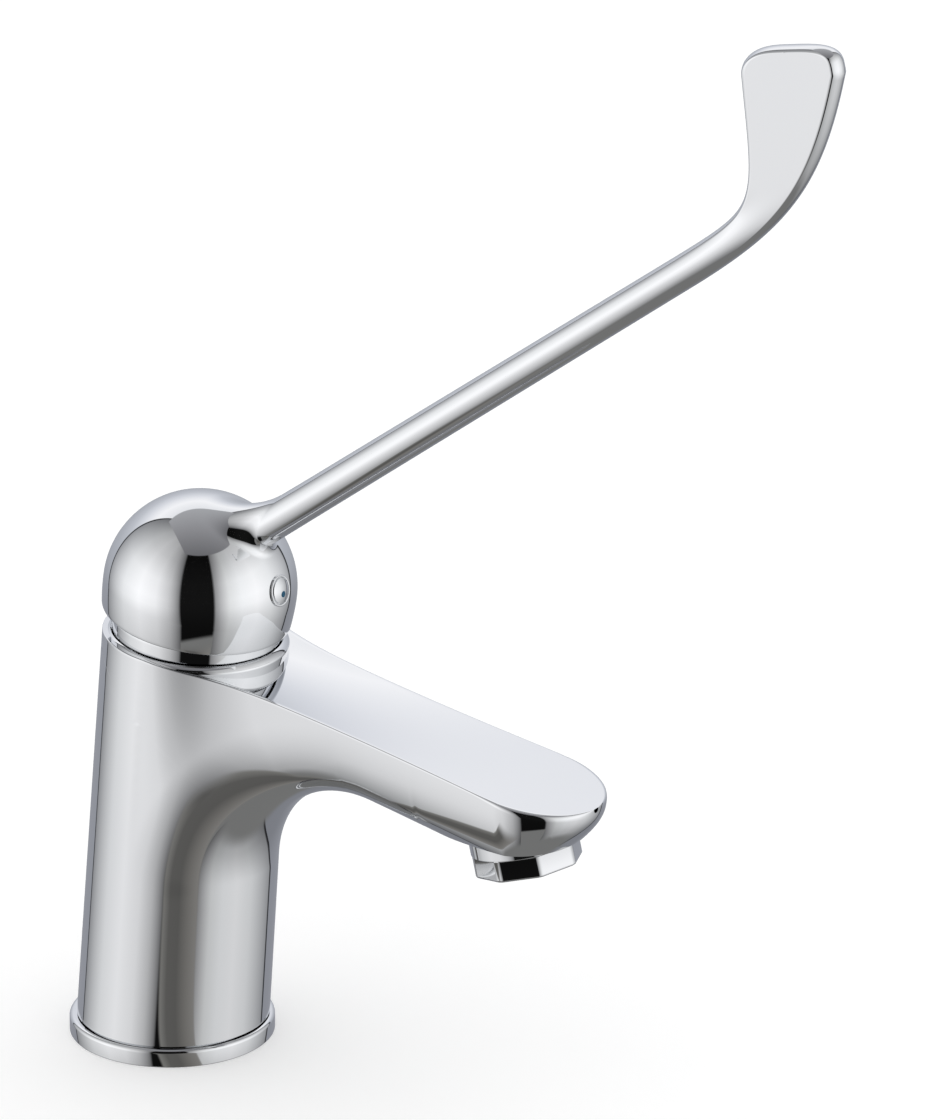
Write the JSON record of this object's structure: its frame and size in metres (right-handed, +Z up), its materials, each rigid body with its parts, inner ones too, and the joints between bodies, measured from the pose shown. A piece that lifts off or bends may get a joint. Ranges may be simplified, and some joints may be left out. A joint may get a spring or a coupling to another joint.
{
  "type": "elbow lever tap",
  "caption": "Chromed single-lever basin mixer with a leaning column, dished spout and a domed handle whose long rod ends in an upright elbow blade.",
  "frame": {"origin": "centre of the base ring's bore on the deck", "axes": "+X from the column along the spout, +Z up from the deck"},
  "size_m": [0.2047, 0.049, 0.2732],
  "materials": {
    "chrome": "polished chrome plate",
    "brass": "machined",
    "steel": "machined",
    "rubber": "matt",
    "white_plastic": "moulded",
    "grey_plastic": "moulded",
    "ceramic": "lapped ceramic",
    "blue_enamel": "gloss enamel"
  },
  "bodies": {
    "tap_body": {"spout_body": "chrome", "base_ring": "chrome", "base_gasket": "rubber", "cartridge_base": "white_plastic", "port_seals": "rubber", "fixed_disc": "ceramic", "cartridge_housing": "white_plastic", "cartridge_nut": "brass", "hood": "chrome", "hood_ring": "rubber", "aerator_shell": "chrome", "aerator_insert": "white_plastic", "aerator_screen": "steel", "aerator_gasket": "rubber"},
    "turret": {"turret_guide": "grey_plastic", "pivot_pin": "steel"},
    "handle": {"spindle": "steel", "lever_handle": "chrome", "set_screw": "steel", "indicator_plug": "chrome", "indicator_dot": "blue_enamel"},
    "slider": {"disc_carrier": "grey_plastic", "moving_disc": "ceramic"}
  },
  "joints": [
    {"name": "temperature_turn", "type": "hinge", "parent": "tap_body", "child": "turret", "pos_m": [0, 0, 0], "axis": [0.0819, 0, 0.9966], "range_deg": [-50, 50]},
    {"name": "flow_lift", "type": "hinge", "parent": "turret", "child": "handle", "pos_m": [0.00877, 0, 0.10664], "axis": [0, -1, 0], "range_deg": [0, 15]},
    {"name": "disc_slide", "type": "slide", "parent": "turret", "child": "slider", "axis": [0.9966, 0, -0.0819], "range_m": [0, 0.0053]}
  ],
  "couplings": [
    {"joint": "disc_slide", "follows": "flow_lift", "m_per_rad": 0.02}
  ]
}
